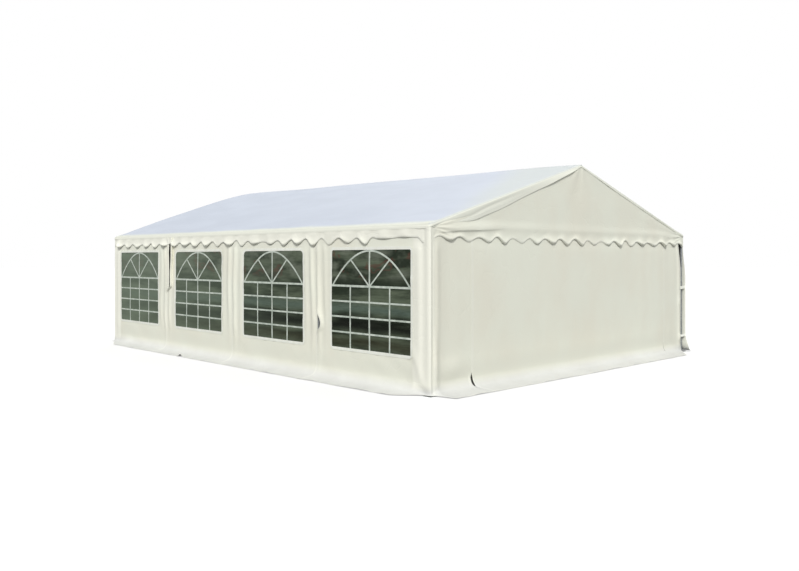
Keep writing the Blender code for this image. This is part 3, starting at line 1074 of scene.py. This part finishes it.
def end_swell(y, z, seed):
    """How far an end wall stands out of its plane."""
    sway = 0.008 * drift(0.0, z, seed, 1.0, 0.9)
    out = corner_roll(HALF_WIDTH + y, 0.100 + sway, 0.045, 0.013)
    out += corner_roll(HALF_WIDTH - y, 0.170 + sway, 0.030, 0.014)
    middle = ease(0.0, 0.5, HALF_WIDTH - abs(y))
    full = 0.010 * sin(pi * min(z / WALL_TOP, 1.0))
    out += middle * (full + 0.008 * drift(y, z, seed + 1, 0.8, 1.3))
    drapes = 0.4 + 0.6 * ease(1.2, 2.6, y)
    out += 0.004 * drift(y, z, seed + 2, 0.17, 1.6) * drapes * ease(0.05, 0.3, HALF_WIDTH - abs(y))
    out += 0.022 * hump(y, -2.66, 0.20) * hump(z, 0.26, 0.11)
    out += 0.018 * hump(y, -2.932, 0.032) * ease(-2.956, -2.934, y) * ease(0.85, 0.35, z)
    out += 0.024 * hump(y, 2.84, 0.045) * (hump(z, 0.24, 0.06) + 0.5 * hump(z, 0.82, 0.05))
    out -= (0.95 * out + 0.0012) * ease(1.62, 1.74, z)
    return out + PROUD * ease(-2.72, -2.86, y)


def end_reach(y, seed):
    """How far an end wall's hem lies out on the ground."""
    reach = 0.30 + 0.015 * drift(y, 0.0, seed + 7, 0.6) + 0.010 * drift(y, 3.0, seed + 8, 0.15)
    return reach * (0.07 + 0.93 * ease(-2.98, -2.90, y)) * (0.12 + 0.88 * ease(2.96, 2.45, y))


def end_point(y, z, seed, lift):
    """A place on an end wall, lifted off its cloth."""
    return END_PLANE + end_swell(y, z, seed) + lift, y, z


def make_end_wall(end, turn, seed, gapes):
    """One sheet with two zipped slits. Where it gapes, its far edge stands clear of the corner leg."""
    near_edge = -LEG_Y + 0.002
    far_edge = 2.905 if gapes else -near_edge
    slit = 0.0008
    slit_top = height_to_flat(OPEN_BELOW)

    def place(a, b):
        out, z = skirt_profile(b)
        y, puff = a, 0.0
        on_ground = ease(0.13, 0.03, z)
        for way in (-1, 1):
            off = a - way * ZIP_Y
            opened = ease(OPEN_BELOW, 0.13, z) * ease(0.02, 0.07, z) * (1 if way < 0 else 0.15)
            y += copysign(0.017 * opened, off) * hump(off, 0.0, 0.05)
            puff += 0.009 * opened * hump(abs(off), 0.020, 0.014)
        y += 0.05 * on_ground * out / SKIRT_REACH * hump(a, -ZIP_Y, 0.09)
        swell = end_swell(a, z, seed) * (1 - 0.8 * on_ground) - TUCK * ease(-2.945, -2.957, a) + puff
        if gapes:
            y -= 0.085 * ease(1.30, 1.84, z) * hump(a, far_edge, 0.16)
        else:
            swell -= TUCK * ease(2.945, 2.957, a)
        ripple = 0.010 * on_ground * max(0.2 + drift(a, out, seed + 6, 0.17, 0.5), 0.0)
        if a > -ZIP_Y:
            ripple += 0.010 * on_ground * hump(a, -ZIP_Y + 0.06, 0.05) * ease(0.30, 0.22, out)
        return END_PLANE + out * end_reach(a, seed) / SKIRT_REACH + swell, y, z + ripple

    across = spaced(
        near_edge,
        (near_edge + HEM, 4),
        (near_edge + HEM + HEM_STEP, 1),
        (-ZIP_Y - slit, 40),
        (-ZIP_Y + slit, 1),
        (-ZIP_Y + 0.3, 18),
        (ZIP_Y - 0.3, 96),
        (ZIP_Y - slit, 14),
        (ZIP_Y + slit, 1),
        (far_edge - HEM - HEM_STEP, 30),
        (far_edge - HEM, 1),
        (far_edge, 4),
    )
    up = spaced(0.0, *FOOT_ROWS, (slit_top, 5), (WALL_LENGTH, 46))
    holes = [(way * ZIP_Y - slit, way * ZIP_Y + slit, -1.0, slit_top) for way in (-1, 1)]
    shape = cut_sheet(across, up, place, holes)
    sheet = finished(f"{end}_end_sheet", shape, wall_cloth, CLOTH, turn)
    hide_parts(f"{end}_end_wall")
    pieces = [
        make_zip_flaps(f"{end}_zip_flaps", turn, seed),
        make_zip_tapes(f"{end}_zip_tapes", turn, place),
    ]
    if gapes:
        pieces.append(make_ties(f"{end}_end_ties", turn, seed))
    far_edge - near_edge


def make_zip_flaps(name, turn, seed):
    """The cloth that covers each zip above its open foot."""

    def over_zip(y, z):
        return end_point(y, z, seed, FLAP_LIFT)

    flaps = []
    for y in (-ZIP_Y + 0.012, ZIP_Y + 0.012):
        flaps.append(strip(Path([(y, OPEN_BELOW), (y, ZIP_TOP)]), FLAP_WIDTH, 60, over_zip))
    return finished(name, joined(flaps), wall_cloth, TRIM, turn)


def make_zip_tapes(name, turn, place):
    """The dark tape behind the open foot of each door slit."""
    low, high = SKIRT.length - 0.12, height_to_flat(OPEN_BELOW) + 0.02
    tapes = []
    for middle in (-ZIP_Y, ZIP_Y):

        def behind(y, b):
            beside = [place(middle + off, b) for off in (-0.05, 0.05)]
            x = min(point[0] for point in beside) - 0.005
            z = min(point[2] for point in beside) - 0.003
            return x, y, max(z, 0.002)

        tapes.append(strip(Path([(middle, low), (middle, high)]), TAPE_WIDTH, 24, behind))
    return finished(name, joined(tapes), zip_tape, TRIM, turn)


def make_ties(name, turn, seed):
    """Short webbing straps from the sheet's far edge round the corner leg."""
    straps = []

    def over_gap(y, z):
        x, _, _ = end_point(min(y, 2.88), z, seed, 0.003)
        return x + 0.022 * ease(2.89, 2.995, y), y, z

    for z, width, inward in ((1.05, 0.048, False), (0.27, 0.036, True)):
        line = Path([(2.83, z), (2.91, z - 0.010), (2.997, z + 0.004)])
        straps.append(strip(line, width, 12, over_gap, inward=inward))
    return finished(name, joined(straps), welded_cloth, WEBBING, turn)


# Put it together

HALF_TURN = pi
make_roof()
make_valance("front", 0.0, 1.3, shift=0.07, plain=(3.15, 3.91))
make_valance("back", HALF_TURN, 14.6)
make_gable("right", 0.0, 2.6)
make_gable("left", HALF_TURN, 17.2)
for number in range(1, 5):
    make_panel("front", number, 0.0, 3.7)
    make_panel("back", number, HALF_TURN, 23.7)
make_end_wall("right", 0.0, 5.2, gapes=True)
make_end_wall("left", HALF_TURN, 25.2, gapes=False)

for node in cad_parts.values():
    if not node.hide_render:
        node.data.materials.clear()
        node.data.materials.append(galvanised.material)

# Floor, light, camera

WHITE = (1.0, 1.0, 1.0, 1.0)
FLOOR_RADIUS = 120.0


def floor_finish():
    """Pale to the eye, and a little darker to the light that it throws back on the walls."""
    material = bpy.data.materials.new("pale_floor")
    tree = Tree(material)
    glow = {"Emission Color": WHITE, "Emission Strength": 0.36}
    dull = {"Base Color": (0.62, 0.62, 0.62, 1.0), "Roughness": 0.9}
    pale = tree.node("ShaderNodeBsdfPrincipled", inputs={**dull, **glow})
    duller = tree.node("ShaderNodeBsdfDiffuse", inputs={"Color": (0.26, 0.26, 0.26, 1.0)})
    seen = tree.node("ShaderNodeLightPath", out="Is Camera Ray")
    both = tree.node("ShaderNodeMixShader", inputs={0: seen, 1: duller, 2: pale})
    tree.node("ShaderNodeOutputMaterial", inputs={"Surface": both})
    return material


def make_floor():
    shape = bmesh.new()
    bmesh.ops.create_circle(shape, cap_ends=True, segments=64, radius=FLOOR_RADIUS)
    mesh = bpy.data.meshes.new("floor")
    shape.to_mesh(mesh)
    shape.free()
    floor = bpy.data.objects.new("floor", mesh)
    bpy.context.scene.collection.objects.link(floor)
    mesh.materials.append(floor_finish())
    floor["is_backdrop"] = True


def make_sky():
    """An even pale light from all round, a little stronger from above, in front of plain white."""
    world = bpy.data.worlds.new("studio")
    bpy.context.scene.world = world
    sky = Tree(world)
    upward = sky.node("ShaderNodeSeparateXYZ", inputs={"Vector": sky.node("ShaderNodeTexCoord")}, out="Z")
    daylight = {"Color": (0.97, 0.985, 1.0, 1.0), "Strength": 0.52 + 0.04 * upward}
    light = sky.node("ShaderNodeBackground", inputs=daylight)
    backdrop = sky.node("ShaderNodeBackground", inputs={"Color": WHITE, "Strength": 1.0})
    seen = sky.node("ShaderNodeLightPath", out="Is Camera Ray")
    both = sky.node("ShaderNodeMixShader", inputs={0: seen, 1: light, 2: backdrop})
    sky.node("ShaderNodeOutputWorld", inputs={"Surface": both})


def make_sun(name, towards, energy, spread):
    """A lamp that shines towards a direction, with its spread in degrees."""
    lamp = bpy.data.lights.new(name, "SUN")
    lamp.energy = energy
    lamp.angle = radians(spread)
    lamp.color = (1.0, 0.985, 0.96)
    holder = bpy.data.objects.new(name, lamp)
    holder.rotation_euler = Vector(towards).to_track_quat("-Z", "Y").to_euler()
    bpy.context.scene.collection.objects.link(holder)
    holder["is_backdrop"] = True


make_floor()
make_sky()
make_sun("soft_key", (-0.48, 0.52, -0.64), 2.5, 14)
make_sun("soft_back", (0.50, -0.55, -0.60), 0.5, 30)

# The camera, fitted to the photo, with its focal length and shift in pixels of a picture this wide
PICTURE_WIDTH = 799
FOCAL_LENGTH = 775.8
HORIZON_SHIFT = -27.3
SENSOR_WIDTH = 36.0

camera = bpy.data.objects.new("camera", bpy.data.cameras.new("camera"))
camera.location = (9.87, -9.17, 1.52)
camera.rotation_euler = (radians(90), 0.0, radians(45.85))
camera.data.sensor_width = SENSOR_WIDTH
camera.data.lens = FOCAL_LENGTH / PICTURE_WIDTH * SENSOR_WIDTH
camera.data.shift_y = HORIZON_SHIFT / PICTURE_WIDTH
bpy.context.scene.collection.objects.link(camera)
bpy.context.scene.camera = camera
bpy.context.scene.view_settings.view_transform = "Standard"

[[list(corner) for corner in box] for box in (cad_box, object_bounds())]
